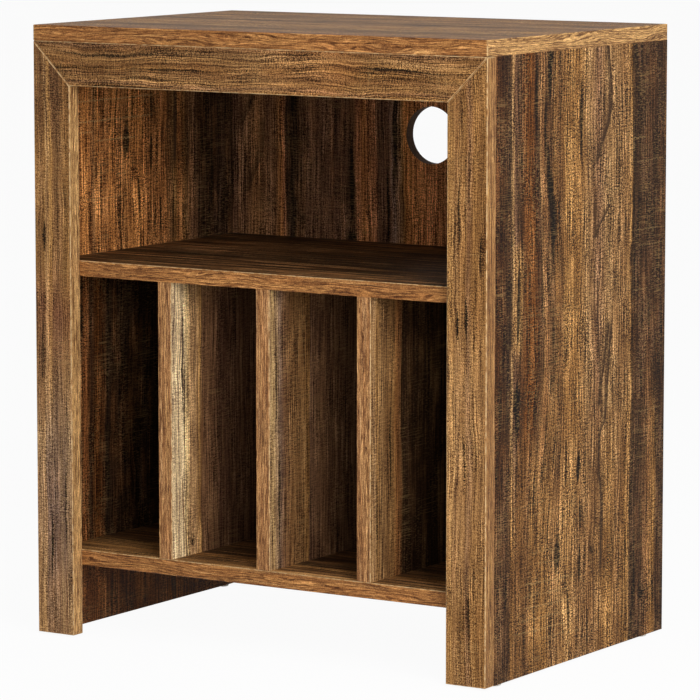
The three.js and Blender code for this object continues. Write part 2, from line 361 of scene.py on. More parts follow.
def veinMask(sheet, bent, along, side, fade, strength, points):
    # sharp on one side of its line and fading on the other
    offset = (bent - sheet.course(along, points)) * side
    edge = sheet.step(offset, 1.0, -0.6)
    faded = sheet.step(offset, -fade, -fade * 0.15)
    outline = (1.0 - abs(offset + 0.7) / markSettings["veinOutlineWidth"]).clamped()
    ends = (bell(along, points[0][0], points[-1][0]) * markSettings["steepness"]).clamped()
    return (edge * faded * strength).atLeast(outline * markSettings["veinOutline"]) * ends


def scratchMask(sheet, across, along, scratch):  # a thin line across the grain
    at, left, right, slope, strength = scratch
    offset = abs(along - at - (across - left) * slope)
    line = (1.0 - offset / markSettings["scratchWidth"]).clamped()
    return line * (bell(across, left, right) * 3.0).clamped() * strength


def patchMask(sheet, bent, along, patch):
    left, right, low, high, strength = patch
    sideways = bell(bent, left, right)
    lengthways = bell(along, low, high)
    return (sideways * 2.0).clamped() * (lengthways * 2.0).clamped() * strength


def printBands(sheet, recipe, given, bent, along, slow):  # the ground colour of the print
    colour = sheet.ramp(bent, recipe["bands"])
    if "lowBands" in recipe:
        fullAt, goneAt = recipe["lowReach"]
        share = sheet.step(along + slow * given["lowRagged"], goneAt, fullAt)
        colour = sheet.blend(share, colour, sheet.ramp(bent, recipe["lowBands"]))
    if "drift" in recipe:
        drift = sheet.ramp(along + slow * markSettings["driftRagged"], recipe["drift"])
        colour = sheet.blend(recipe["driftShare"], colour, drift)
    for key in ("shade", "glow"):
        for patch in recipe.get(key, []):
            mask = patchMask(sheet, bent, along, patch)
            colour = sheet.blend(mask, colour, paint(recipe[key + "Tone"]))
    return colour


def laminatePrint(name, recipe):
    given = {**laminateSettings, **recipe.get("settings", {})}
    seed = recipe["seed"]
    grain = given["grain"]
    material, sheet = newMaterial("laminate, " + name)
    axes = sheet.millimetres()
    across = onAxis(axes, recipe["across"])
    along = onAxis(axes, recipe["along"], recipe.get("shift", 0.0))

    def pattern(kind, sideways, scale=1.0):
        return sheet.pattern(printGrain, kind, sideways, along, seed, scale)

    slow = pattern("slow", across) - 0.5
    quick = pattern("quick", across) - 0.5
    bent = across + slow * given["wobble"] + quick * 3.0
    if "lean" in recipe:
        reach = bell(across, *recipe["lean"]["between"]).clamped()
        bent = bent - sheet.course(along, recipe["lean"]["line"]) * reach
    colour = printBands(sheet, recipe, given, bent, along, slow)

    streakKinds = ("wide", "middle", "fine")
    wide, middle, fine = (sheet.contrast(pattern(kind, bent, grain)) for kind in streakKinds)
    spotKinds = ("speckle", "crossMark")
    speckle, crossMark = (sheet.contrast(pattern(kind, across, grain)) for kind in spotKinds)
    figure = sheet.contrast(pattern("figure", across))
    zone = pattern("zone", across)
    darkLine, paleLine = (pattern(kind, bent, grain) for kind in ("darkLine", "paleLine"))
    rusty = (wide + figure * 0.6).clamped() * given["rustShare"]
    colour = sheet.blend(rusty, colour, paint(recipe.get("rust", "clay")))

    streaks = wide * given["wideStreak"] + middle * given["midStreak"] + fine * given["fineStreak"]
    grainy = speckle * given["speckle"] + crossMark * given["crossMark"] + figure * given["figure"]
    lines = paleLine * given["paleLines"] - darkLine * given["darkLines"]
    shade = (streaks + grainy) * (zone * 0.6 + 0.7) + lines
    colour = sheet.shaded(colour, shade * given["depth"])

    ragged = (middle * 0.8 + speckle + fine * 0.8 + 1.0).clamped()
    for side, fade, strength, tone, points in recipe.get("veins", []):
        mask = veinMask(sheet, bent, along, side, fade, strength, points)
        colour = sheet.blend(mask, colour, paint(tone))
    for crack in recipe.get("cracks", []):
        mask = crackMask(sheet, bent + speckle * 1.6, along, crack) * ragged
        colour = sheet.blend(mask, colour, paint("black"))
    for knot in recipe.get("knots", []):
        mask = knotMask(sheet, bent + speckle * 5.0, along + fine * 8.0, knot) * ragged
        colour = sheet.blend(mask, colour, paint("black"))

    sawLine, sawn = (pattern(kind, across) for kind in ("sawLine", "sawn"))
    for patch in recipe.get("sawn", []):
        sawn = sawn.atLeast(patchMask(sheet, bent, along, patch))
    colour = sheet.blend(sawLine * sawn * given["sawLines"], colour, paint("oat"))
    thread = pattern("thread", across, grain)
    colour = sheet.blend(thread * (zone * 0.8 + 0.2) * given["threads"], colour, paint("oat"))
    for scratch in recipe.get("scratches", []):
        mask = scratchMask(sheet, across, along + fine * 1.5, scratch) * (speckle + 0.9).clamped()
        colour = sheet.blend(mask, colour, paint("straw"))

    roughness = given["roughness"] + speckle * 0.12 + fine * 0.08
    height = fine * 0.25 + middle * 0.25 + speckle * 0.35 + crossMark * 0.15
    shine = {"Specular IOR Level": given["specular"]}
    finishMaterial(sheet, colour, roughness, height, given["bump"], shine)
    return material


# Edge tape, and the chipboard under it

tapeSettings = {
    "bands": [(0, "a87a4a"), (30, "ba8a58"), (60, "a27044"), (100, "c09262")],
    "dash": "5c351c",
    "dashShare": 0.8,
    "longDash": "5f391e",
    "longDashShare": 0.75,
    "swirl": 6.0,
    "paleTone": "d0a468",
    "pale": 0.0,
    "paleEndShare": 0.65,
    "specular": 0.1,
    "roughness": 0.5,
    "bump": (0.25, 0.0003),
}

tapeGrain = {  # as in printGrain
    "slow": (16.0, 110.0, 1.0),
    "tone": (5.0, 160.0, 2.0),
    "dashes": (0.9, 14.0, 1.0, 0.6, 0.64),
    "longDashes": (1.1, 70.0, 1.0, 0.6, 0.64),
    "fine": (0.9, 12.0, 1.0),
    "speckle": (1.3, 1.8, 1.0),
    "long": (2.2, 150.0, 2.0),
    "middle": (1.3, 45.0, 1.0),
}


def edgeTape(name, alongAxes, acrossAxes, seed, changes=None):
    given = {**tapeSettings, **(changes or {})}
    material, sheet = newMaterial(name)
    axes = sheet.millimetres()
    along = sum(axes["xyz".index(axis)] for axis in alongAxes)
    across = sum(axes["xyz".index(axis)] for axis in acrossAxes)

    def pattern(kind, sideways):
        return sheet.pattern(tapeGrain, kind, sideways, along, seed)

    slow = pattern("slow", across) - 0.5
    bent = across + slow * given["swirl"]
    tone = sheet.ramp((pattern("tone", bent) - 0.25) * 200.0, given["bands"])
    tone = sheet.blend(given["pale"], tone, paint(given["paleTone"]))
    if "paleEnd" in given:  # the ends of the top's tape are paler than its front
        end = sheet.step(abs(axes[0]), given["paleEnd"] - 3.0, given["paleEnd"] - 0.5)
        tone = sheet.blend(end * given["paleEndShare"], tone, paint(given["paleTone"]))
    dashes, longDashes = (pattern(kind, bent) for kind in ("dashes", "longDashes"))
    long, middle, fine = (sheet.contrast(pattern(kind, bent)) for kind in ("long", "middle", "fine"))
    speckle = sheet.contrast(pattern("speckle", across))
    colour = sheet.blend(dashes * given["dashShare"], tone, paint(given["dash"]))
    colour = sheet.blend(longDashes * given["longDashShare"], colour, paint(given["longDash"]))
    shade = long * 0.26 + middle * 0.26 + fine * 0.28 + speckle * 0.24 + slow * 0.2
    colour = sheet.shaded(colour, shade)
    height = fine * 0.4 + speckle * 0.2 - dashes * 0.4
    roughness = given["roughness"] + speckle * 0.1
    shine = {"Specular IOR Level": given["specular"]}
    finishMaterial(sheet, colour, roughness, height, given["bump"], shine)
    return material


def chipboardMaterial(name, bands):
    material, sheet = newMaterial(name)
    x, y, z = sheet.millimetres()
    chips = {"Vector": sheet.node("ShaderNodeTexCoord", {}, {}, 3), "Scale": 420.0}
    cell = sheet.node("ShaderNodeTexVoronoi", {"feature": "F1"}, chips, 1)
    value = sheet.node("ShaderNodeSeparateColor", {}, {0: cell})
    grit = sheet.noise(x / 1.1 + z / 1.3, y / 1.2, 2.0, 3.0)
    colour = sheet.ramp(value * 60.0 + grit * 40.0, bands)
    dull = {"Specular IOR Level": 0.2}
    finishMaterial(sheet, colour, 0.85 + grit * 0.1, value + grit, (0.4, 0.0004), dull)
    return material


def arrisHighlightAndCoreMaterial():  # the thin pale line on the arrises: a painted highlight, and partly the pale core where two finishes meet
    material, sheet = newMaterial("arris, painted highlight and pale core")
    x, y, z = sheet.millimetres()
    place = x + y + z
    patchy = sheet.noise(place / 14.0, (x - z) / 9.0, 2.0, 15.0)
    colour = sheet.ramp(patchy * 100.0, [(25, "94693f"), (45, "b58d5f"), (60, "cfae80"), (80, "b8905f")])
    finishMaterial(sheet, colour, 0.5 + patchy * 0.12, patchy, (0.1, 0.0001), {"Specular IOR Level": 0.1})
    return material


def bareWoodMaterial():
    material, sheet = newMaterial("bare beech")
    x, y, z = sheet.millimetres()
    across = x + y * 0.6
    rings = sheet.noise(across / 3.0, z / 90.0, 2.0, 5.0)
    flecks = sheet.step(sheet.noise(across / 0.5, z / 3.0, 1.0, 6.0), 0.55, 0.7)
    tone = sheet.ramp(rings * 100.0, [(20, "b78f5c"), (50, "cfae7e"), (80, "d9bd90")])
    colour = sheet.blend(flecks * 0.5, tone, paint("a67b48"))
    finishMaterial(sheet, colour, 0.7 + flecks * 0.1, rings, (0.2, 0.0002), {"Specular IOR Level": 0.3})
    return material


def zincMaterial():
    material, sheet = newMaterial("zinc plate")
    x, y, z = sheet.millimetres()
    cloud = sheet.noise(x / 4.0 + z / 5.0, y / 4.0, 3.0, 8.0)
    scratch = sheet.noise(x / 0.4 + y / 0.5, z / 3.0, 1.0, 9.0)
    colour = sheet.ramp(cloud * 100.0, [(25, "9fa09c"), (50, "b9bab6"), (75, "cfcfc8")])
    roughness = 0.26 + cloud * 0.16 + scratch * 0.1
    finishMaterial(sheet, colour, roughness, scratch, (0.1, 0.0001), {"Metallic": 0.95})
    return material


def nylonMaterial():
    material, sheet = newMaterial("white nylon")
    x, y, z = sheet.millimetres()
    cloud = sheet.noise(x / 3.0, y / 3.0 + z / 2.0, 3.0, 12.0)
    colour = sheet.ramp(cloud * 100.0, [(20, "d9d6cd"), (50, "e4e2dc"), (80, "ebe9e4")])
    satin = {"Specular IOR Level": 0.45}
    finishMaterial(sheet, colour, 0.42 + cloud * 0.14, cloud, (0.15, 0.0002), satin)
    return material


# Boards. Each recipe says how its print lies, in millimetres from the corner named above.
# Bands and drift: a place and its tone. Veins: the side that is sharp, how far the other fades,
# strength, tone and points along and across. Cracks: across, from, to, width. Knots: across, along,
# width, length. Scratches: along, from, to, slope, strength. Sawn, glow and shade: from and to
# across, from and to along, strength.

rightSideOuter = {
    "seed": 1.0,
    "settings": {
        "grain": 1.5, "depth": 1.22, "threads": 0.32, "wideStreak": 0.08, "midStreak": 0.2,
        "darkLines": 0.16, "paleLines": 0.06, "fineStreak": 0.74, "speckle": 0.74, "rustShare": 0.2,
    },
    "across": "y",
    "along": "z",
    "bands": [
        (18, "peat"), (51, "char"), (54, "tan"), (57, "tan"), (59, "mocha"), (66, "coffee"),
        (84, "russet"), (96, "russet"), (101, "peat"), (110, "coffee"), (114, "oak"), (121, "saddle"),
        (127, "walnut"), (139, "walnut"), (145, "hazel"), (155, "bronze"), (163, "hazel"),
        (178, "teak"), (200, "teak"), (222, "tan"), (242, "acorn"), (262, "tan"), (308, "oak"),
        (317, "gold"), (320, "amber"), (321, "umber"), (334, "bark"), (350, "coffee"), (382, "bark"),
        (400, "coffee"),
    ],
    "lowBands": [
        (18, "walnut"), (40, "coffee"), (50, "walnut"), (54, "teak"), (63, "bronze"), (71, "hazel"),
        (97, "bronze"), (103, "teak"), (111, "teak"), (116, "hazel"), (136, "amber"), (158, "oak"),
        (172, "gold"), (186, "gold"), (198, "oak"), (235, "oak"), (272, "amber"), (290, "oak"),
        (302, "hazel"), (314, "amber"), (320, "oak"), (321, "bark"), (332, "coffee"), (345, "coffee"),
        (360, "saddle"), (374, "amber"), (381, "coffee"), (400, "loam"),
    ],
    "lowReach": (120, 330),
    "lean": {  # how far the bands between two places swing sideways, along the grain
        "between": (60, 180),
        "line": [
            (0, -12), (100, -10), (180, -8), (250, -1), (300, 5), (350, 9), (430, 8), (500, 4),
            (560, 0), (690, -1),
        ],
    },
    "veins": [
        (1.0, 13, 1.0, "loam", [
            (548, 238), (565, 246), (582, 256), (600, 266), (625, 272), (660, 268), (690, 262),
        ]),
        (1.0, 12, 1.0, "loam", [(468, 236), (478, 242), (488, 252), (498, 264), (506, 272)]),
        (-1.0, 8, 0.9, "coffee", [(468, 238), (485, 233), (510, 231)]),
        (1.0, 12, 1.0, "loam", [(276, 248), (300, 253), (325, 260), (352, 267), (376, 270)]),
        (-1.0, 6, 1.0, "loam", [(274, 248), (320, 246), (370, 243), (430, 239)]),
        (-1.0, 3, 0.8, "coffee", [(20, 232), (60, 236), (110, 233), (160, 238), (210, 236)]),
        (1.0, 11, 1.0, "loam", [
            (80, 252), (130, 256), (180, 255), (215, 248), (245, 250), (262, 262), (310, 270),
            (380, 276),
        ]),
        (1.0, 4, 0.7, "coffee", [(20, 280), (90, 281), (150, 290), (220, 294)]),
    ],
    "cracks": [
        (105, 575, 690, 2.2), (137, 440, 560, 3.6), (131, 500, 590, 2.8), (126, 560, 640, 2.0),
        (134, 620, 700, 3.0), (143, 470, 530, 2.0), (203, 548, 660, 2.4), (206, 84, 132, 2.6),
        (206, 140, 190, 1.6), (162, 100, 150, 3.0), (201, 196, 236, 3.2), (66, 360, 470, 2.4),
        (109, 150, 232, 1.3), (180, 20, 90, 1.2), (330, 20, 130, 1.6), (224, 10, 60, 1.2),
    ],
    "knots": [
        (66, 305, 8, 20), (68, 280, 6, 12), (73, 565, 3, 7), (234, 118, 4, 5), (350, 52, 6, 7),
        (256, 532, 2, 4),
    ],
    "sawn": [
        (80, 190, 40, 170, 0.8), (72, 196, 220, 480, 0.7), (325, 400, 90, 260, 0.5),
        (325, 385, 440, 580, 0.6), (240, 310, 440, 560, 0.4),
    ],
    "glow": [(165, 185, 480, 600, 0.5), (55, 75, 350, 480, 0.5), (160, 190, 330, 460, 0.4)],
    "glowTone": "honey",
    "scratches": [
        (575, 322, 352, 0.0, 0.5), (548, 330, 395, 0.01, 0.35), (470, 324, 380, 0.0, 0.4),
        (452, 330, 398, 0.0, 0.3), (402, 322, 360, 0.0, 0.4), (188, 60, 130, 0.01, 0.35),
        (176, 90, 180, 0.0, 0.3), (300, 240, 310, 0.0, 0.3), (520, 245, 300, 0.02, 0.35),
        (262, 330, 395, 0.0, 0.35), (240, 322, 372, 0.0, 0.3), (101, 80, 190, -0.045, 0.6),
        (88, 74, 188, -0.05, 0.45), (75, 80, 205, -0.05, 0.6), (62, 66, 200, -0.04, 0.5),
        (49, 60, 190, -0.04, 0.6), (121, 106, 192, -0.05, 0.5), (134, 96, 156, -0.04, 0.4),
        (36, 110, 220, -0.04, 0.4),
    ],
    "shade": [(235, 262, 130, 230, 0.4), (150, 162, 180, 260, 0.5)],
    "shadeTone": "walnut",
}

leftSideInner = {
    **rightSideOuter,
    "settings": {
        "grain": 1.5, "depth": 1.22, "lowRagged": 8.0, "threads": 0.2, "wideStreak": 0.12,
        "midStreak": 0.28, "darkLines": 0.26,
    },
    "shift": -435.0,
    "bands": [
        (60, "chestnut"), (72, "copper"), (80, "copper"), (88, "chestnut"), (97, "saddle"),
        (104, "copper"), (116, "chestnut"), (128, "chestnut"), (138, "copper"), (148, "chestnut"),
        (157, "clay"), (182, "copper"), (195, "chestnut"), (206, "clay"), (232, "chestnut"),
        (244, "bronze"), (252, "teak"), (261, "chestnut"), (274, "hazel"), (290, "acorn"),
        (303, "coffee"), (321, "bark"), (345, "loam"), (375, "coffee"),
    ],
    # From 126 mm back the lower bands are char: painted shade deep in the lower left slot.
    "lowBands": [
        (18, "umber"), (55, "rust"), (62, "clay"), (66, "bark"), (70, "rust"), (78, "rust"),
        (84, "peat"), (90, "bark"), (106, "russet"), (118, "peat"), (126, "char"), (136, "bark"),
        (200, "char"), (400, "char"),
    ],
    "lowReach": (-26, -12),
    "knots": [(66, -75, 4, 22), (67, -40, 3, 12)],
    "scratches": [
        (174, 20, 215, 0.0, 1.0), (150, 24, 212, 0.004, 0.9), (127, 92, 176, 0.0, 0.8),
        (138, 30, 90, 0.0, 0.6), (60, 60, 150, 0.0, 0.4),
    ],
    "glow": [(0, 420, -480, -345, 0.6)],
    "glowTone": "rust",
    "shade": [],
}

# Two faces of the side panels have the same print, moved and without some of its marks
unseenSide = {**rightSideOuter, "veins": [], "scratches": []}
sideRecipes = {  # each panel's lower face along X comes first
    "left": {"outside": {**unseenSide, "seed": 23.0, "shift": 260.0}, "inside": leftSideInner},
    "right": {"inside": {**unseenSide, "seed": 31.0, "shift": -180.0}, "outside": rightSideOuter},
}

backRecipe = {
    "seed": 41.0,
    "settings": {"depth": 1.1},
    "across": "x",
    "along": "z",
    "bands": [
        (18, "cocoa"), (32, "acorn"), (54, "saddle"), (74, "acorn"), (84, "saddle"), (90, "chestnut"),
        (94, "cedar"), (96, "loam"), (106, "char"), (116, "coffee"), (128, "mocha"), (158, "mocha"),
        (166, "cocoa"), (180, "mocha"), (188, "loam"), (194, "coffee"), (196, "cedar"),
        (206, "chestnut"), (223, "cedar"), (225, "mocha"), (242, "cocoa"), (249, "drift"),
        (262, "teak"), (264, "copper"), (300, "ginger"), (340, "saddle"), (370, "walnut"),
        (402, "hazel"), (420, "coffee"), (470, "bronze"), (520, "gold"), (582, "oak"),
    ],
    "veins": [
        (1.0, 14, 0.6, "umber", [(480, 40), (510, 52), (540, 64), (575, 66)]),
        (1.0, 12, 0.6, "umber", [(560, 30), (590, 46), (630, 58), (660, 60)]),
    ],
    "cracks": [(107, 560, 680, 2.0), (190, 440, 560, 2.4), (252, 500, 640, 2.2), (240, 430, 520, 1.6)],
    "knots": [(189, 440, 6, 7), (44, 590, 3, 4)],
    "sawn": [(262, 334, 440, 600, 0.7), (100, 190, 430, 560, 0.5)],
}

dividerSettings = {"depth": 0.85, "speckle": 0.4, "crossMark": 0.3}
dividerRecipes = {
    "left": {
        "seed": 53.0,
        "settings": dividerSettings,
        "across": "y",
        "along": "z",
        "bands": [
            (18, "cream"), (40, "cream"), (48, "straw"), (56, "fawn"), (66, "fawn"), (76, "honey"),
            (77, "mocha"), (82, "acorn"), (100, "acorn"), (116, "cocoa"), (160, "mocha"),
            (200, "cocoa"), (375, "umber"),
        ],
        "veins": [
            (1.0, 3, 0.7, "saddle", [(112, 60), (125, 70), (150, 76), (210, 80), (280, 82)]),
            (-1.0, 3, 0.7, "saddle", [(112, 58), (122, 50), (145, 42), (190, 38)]),
        ],
        "cracks": [(40, 260, 400, 1.2), (44, 200, 330, 1.0)],
        "knots": [(60, 116, 4, 5)],
        "rust": "tan",
    },
    "centre": {
        "seed": 61.0,
        "settings": dividerSettings,
        "across": "y",
        "along": "z",
        "bands": [
            (18, "sand"), (24, "oat"), (32, "sand"), (40, "drift"), (48, "acorn"), (64, "oak"),
            (80, "oak"), (99, "teak"), (100, "plum"), (104, "mocha"), (130, "acorn"), (200, "mocha"),
            (375, "umber"),
        ],
        "sawn": [(18, 110, 98, 414, 0.9)],
        "cracks": [(38, 110, 250, 1.3), (32, 240, 390, 1.1)],
        "rust": "tan",
    },
    "right": {
        "seed": 67.0,
        "settings": dividerSettings,
        "across": "y",
        "along": "z",
        "bands": [
            (18, "tan"), (25, "fawn"), (31, "gold"), (40, "tan"), (56, "oak"), (64, "gold"),
            (72, "clay"), (82, "saddle"), (83, "umber"), (90, "bark"), (200, "char"), (375, "umber"),
        ],
        "cracks": [(60, 180, 300, 1.4), (30, 110, 220, 1.2)],
        "rust": "gold",
    },
}

stileSettings = {"grain": 0.75, "depth": 0.86, "midStreak": 0.26, "speckle": 0.6, "darkLines": 0.2}
stileRecipes = {
    "left": {
        "seed": 71.0,
        "settings": stileSettings,
        "across": "x",
        "along": "z",
        "bands": [
            (0, "oak"), (7, "acorn"), (9, "cocoa"), (13, "oak"), (15, "fawn"), (22, "honey"),
            (25, "acorn"), (30, "cocoa"), (36, "mocha"), (40, "oak"), (45, "bronze"), (50, "gold"),
        ],
        "lowBands": [
            (0, "fawn"), (12, "fawn"), (14, "drift"), (30, "drift"), (36, "sand"), (38, "drift"),
            (44, "sand"), (50, "fawn"),
        ],
        "lowReach": (190, 330),
        "drift": [
            (0, "honey"), (45, "gold"), (90, "drift"), (160, "drift"), (220, "sand"), (300, "fawn"),
            (370, "cedar"), (430, "honey"), (520, "honey"), (600, "teak"), (690, "hazel"),
        ],
        "driftShare": 0.35,
        "sawn": [(0, 50, 150, 260, 0.7), (0, 50, 520, 660, 0.5)],
        "cracks": [(20, 60, 150, 1.2), (41, 90, 210, 1.0), (10, 280, 380, 1.0), (14, 440, 480, 1.4)],
    },
    "right": {
        "seed": 79.0,
        "settings": stileSettings,
        "across": "x",
        "along": "z",
        "bands": [
            (550, "gold"), (557, "honey"), (562, "oak"), (566, "gold"), (572, "teak"), (577, "acorn"),
            (583, "amber"), (592, "teak"), (600, "amber"),
        ],
        "drift": [(0, "tan"), (90, "oak"), (180, "fawn"), (330, "fawn"), (420, "oak"), (700, "oak")],
        "driftShare": 0.3,
        "cracks": [
            (564, 372, 414, 1.1), (575, 372, 428, 1.4), (571, 200, 300, 0.6), (580, 20, 120, 1.1),
            (566, 470, 560, 1.0), (592, 440, 500, 1.0),
        ],
    },
}

headerRecipe = {
    "seed": 83.0,
    "across": "z",
    "along": "x",
    "bands": [
        (632, "amber"), (637, "acorn"), (641, "gold"), (647, "oak"), (652, "bronze"), (656, "teak"),
        (661, "bronze"), (666, "gold"), (672, "tan"), (677, "bronze"), (682, "acorn"),
    ],
    "drift": [
        (0, "bronze"), (180, "hazel"), (300, "tan"), (390, "chestnut"), (440, "teak"), (540, "oak"),
        (600, "amber"),
    ],
    "driftShare": 0.35,
    "cracks": [(664, 430, 560, 1.0), (672, 20, 200, 0.9), (655, 120, 260, 0.8)],
    "sawn": [(632, 682, 0, 220, 0.6)],
    "settings": {"wobble": 16.0, "grain": 0.8, "midStreak": 0.32, "speckle": 0.65, "darkLines": 0.28},
}

topRecipe = {
    "seed": 89.0,
    "across": "y",
    "along": "x",
    "bands": [
        (0, "saddle"), (40, "tan"), (80, "bronze"), (95, "tan"), (150, "gold"), (200, "tan"),
        (225, "bronze"), (250, "tan"), (310, "oak"), (340, "gold"), (400, "hazel"),
    ],
    "cracks": [(96, 380, 600, 1.6), (222, 60, 180, 1.6)],
}

upperShelfRecipe = {
    "seed": 97.0,
    "settings": {"wideStreak": 1.2, "midStreak": 0.7, "darkLines": 0.5},
    "across": "y",
    "along": "x",
    "bands": [
        (18, "walnut"), (50, "bronze"), (80, "walnut"), (110, "bronze"), (150, "umber"),
        (200, "walnut"), (260, "bronze"), (320, "walnut"), (375, "umber"),
    ],
    "cracks": [(60, 20, 300, 1.6), (120, 200, 520, 1.6), (220, 80, 400, 2.0)],
}

bottomShelfRecipe = {
    "seed": 101.0,
    "settings": {"wideStreak": 0.75, "midStreak": 0.6, "darkLines": 0.4},
    "across": "y",
    "along": "x",
    "bands": [
        (18, "gold"), (50, "bronze"), (64, "teak"), (76, "walnut"), (92, "umber"), (104, "walnut"),
        (118, "bark"), (150, "bronze"), (200, "walnut"), (375, "walnut"),
    ],
    # This glow is a painted pool of light on the front of the leftmost slot's floor.
    "glow": [(0, 110, -40, 160, 0.45)],
    "glowTone": "amber",
    "cracks": [(48, 120, 260, 1.4), (74, 300, 430, 1.4)],
}

boardSettings = {  # in metres
    "arris": {"frame": 0.0009, "side": 0.0004, "back": 0.0003, "inner": 0.0002, "tape": 0.0008},
    "arrisSegments": 3,
    "weld": 0.00001,
    "outermost": 0.00005,  # a face this near to the furthest point is an outer one
    "flush": 0.0001,  # the same for the two broad faces
    "edgeReach": 0.0011,  # a face this near to the outside takes tape, one further in shows the core
}
sharp = math.radians(30)
flat = math.radians(0.5)

# A board's materials: its lower and upper face, its edges, its inside and its arrises with a painted
# highlight and pale core
lowerFace, upperFace, edgeFace, coreFace, arrisHighlightAndCoreFace = range(5)


def addPiece(pieceName, mesh, slotName, *nodeNames):
    piece = bpy.data.objects.new(pieceName, mesh)
    bpy.context.scene.collection.objects.link(piece)
    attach(piece, "root")
    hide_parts(*nodeNames)


def copyNode(nodeName):  # the node's shape with each flat side in one face, its points and its corners
    first, *rest = nodeName.split("_")
    pieceName = first + "".join(word.capitalize() for word in rest)
    work = bmesh.new()
    work.from_mesh(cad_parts[nodeName].data)
    bmesh.ops.remove_doubles(work, verts=work.verts, dist=boardSettings["weld"])
    bmesh.ops.dissolve_limit(work, angle_limit=flat, verts=work.verts, edges=work.edges)
    work.normal_update()
    places = [vert.co.copy() for vert in work.verts]
    corners = [[pick(place[axis] for place in places) for axis in range(3)] for pick in (min, max)]
    return pieceName, work, places, corners


def finishPiece(pieceName, work, materials, slotName, nodeName):
    mesh = bpy.data.meshes.new(pieceName)
    work.to_mesh(mesh)
    work.free()
    for material in materials:
        mesh.materials.append(material)
    addPiece(pieceName, mesh, slotName, nodeName)


def roundEdges(work, edges, kind):
    made = bmesh.ops.bevel(
        work,
        geom=edges,
        offset=boardSettings["arris"][kind],
        offset_type="OFFSET",
        segments=boardSettings["arrisSegments"],
        profile=0.5,
        affect="EDGES",
        clamp_overlap=True,
    )
    work.normal_update()
    return set(made["faces"])


def isOuter(face, places):  # nothing of the board stands in front of this face
    reach = face.normal.dot(face.verts[0].co) + boardSettings["outermost"]
    return all(face.normal.dot(place) < reach for place in places)


def addBoard(nodeName, thin, prints, tape, core, kind, highlightAndCore=None):
    # thin is the axis through the board, and prints are for its lower and its upper face
    pieceName, work, places, corners = copyNode(nodeName)
    outerFaces = {face for face in work.faces if isOuter(face, places)}
    arrises = [
        edge
        for edge in work.edges
        if len(edge.link_faces) == 2
        and all(face in outerFaces for face in edge.link_faces)
        and edge.calc_face_angle(0.0) >= sharp
    ]
    rounded = roundEdges(work, arrises, kind)
    axis = "xyz".index(thin)
    low, high = (corner[axis] for corner in corners)
    for face in work.faces:
        middle = face.calc_center_median()
        near = min(abs(middle[each] - corner[each]) for corner in corners for each in range(3))
        # rounded arrises take the painted highlight and pale core
        if highlightAndCore and face in rounded:
            face.material_index = arrisHighlightAndCoreFace
        elif face.normal[axis] < -0.9 and middle[axis] < low + boardSettings["flush"]:
            face.material_index = lowerFace
        elif face.normal[axis] > 0.9 and middle[axis] > high - boardSettings["flush"]:
            face.material_index = upperFace
        elif near < boardSettings["edgeReach"]:
            face.material_index = edgeFace
        else:
            face.material_index = coreFace
    materials = [*prints, tape, core]
    if highlightAndCore:
        materials.append(highlightAndCore)
    finishPiece(pieceName, work, materials, "laminate", nodeName)


def addPrinted(nodeName, name, recipe, thin, tape, core, kind, highlightAndCore=None):  # one print on both faces
    facePrint = laminatePrint(name, recipe)
    addBoard(nodeName, thin, (facePrint, facePrint), tape, core, kind, highlightAndCore)


orangeBands = [(0, "a26f3d"), (30, "b17c47"), (60, "9a6537"), (100, "b6844f")]
brownBands = [(0, "98703f"), (30, "a87c4a"), (60, "92663a"), (100, "ae8352")]
lyingChanges = {"swirl": 12.0, "bands": orangeBands}
roundChanges = {"swirl": 14.0, "bands": orangeBands, "paleEnd": boardCorner["x"]}  # half the width
tapeUpright = edgeTape("edge tape, upright", "z", "xy", 3.0)
tapeLying = edgeTape("edge tape, lying", "x", "yz", 13.0, lyingChanges)
tapeRound = edgeTape("edge tape round the top", "xy", "z", 19.0, roundChanges)
stileTapes = {
    # The left stile's tape is mixed towards a paler tone: painted light on the stile's inner edge.
    "left": edgeTape("edge tape, left stile", "z", "xy", 29.0, {"pale": 0.6}),
    "right": edgeTape("edge tape, right stile", "z", "xy", 3.0, {"bands": brownBands}),
}
coreBands = [(0, "6b4a2b"), (45, "9c7446"), (80, "b99565"), (100, "80582f")]
# The wall of the back's cable hole is chipboard in dark tones, as painted shade inside the hole.
rimShadeBands = [(0, "38261a"), (45, "4c3524"), (80, "5c4230"), (100, "402c1e")]
chipboard = chipboardMaterial("chipboard core", coreBands)
shadedHoleRim = chipboardMaterial("hole rim, painted shade", rimShadeBands)
arrisHighlightAndCore = arrisHighlightAndCoreMaterial()

for side, recipes in sideRecipes.items():
    prints = [laminatePrint(side + " side, " + where, recipe) for where, recipe in recipes.items()]
    addBoard(side + "_side_panel", "x", prints, tapeUpright, chipboard, "side")
    tape = stileTapes[side]
    recipe = stileRecipes[side]
    addPrinted(side + "_stile", side + " stile", recipe, "y", tape, chipboard, "frame", arrisHighlightAndCore)
addPrinted("header_rail", "header", headerRecipe, "y", tapeLying, chipboard, "frame", arrisHighlightAndCore)
addPrinted("top_panel", "top", topRecipe, "z", tapeLying, chipboard, "inner")
addPrinted("upper_shelf", "upper shelf", upperShelfRecipe, "z", tapeLying, chipboard, "inner")
addPrinted("bottom_shelf", "bottom shelf", bottomShelfRecipe, "z", tapeLying, chipboard, "inner")
addPrinted("back_panel", "back", backRecipe, "y", tapeLying, shadedHoleRim, "back")
for name, recipe in dividerRecipes.items():
    addPrinted(name + "_divider", name + " divider", recipe, "x", tapeUpright, chipboard, "inner")
print("boards done")


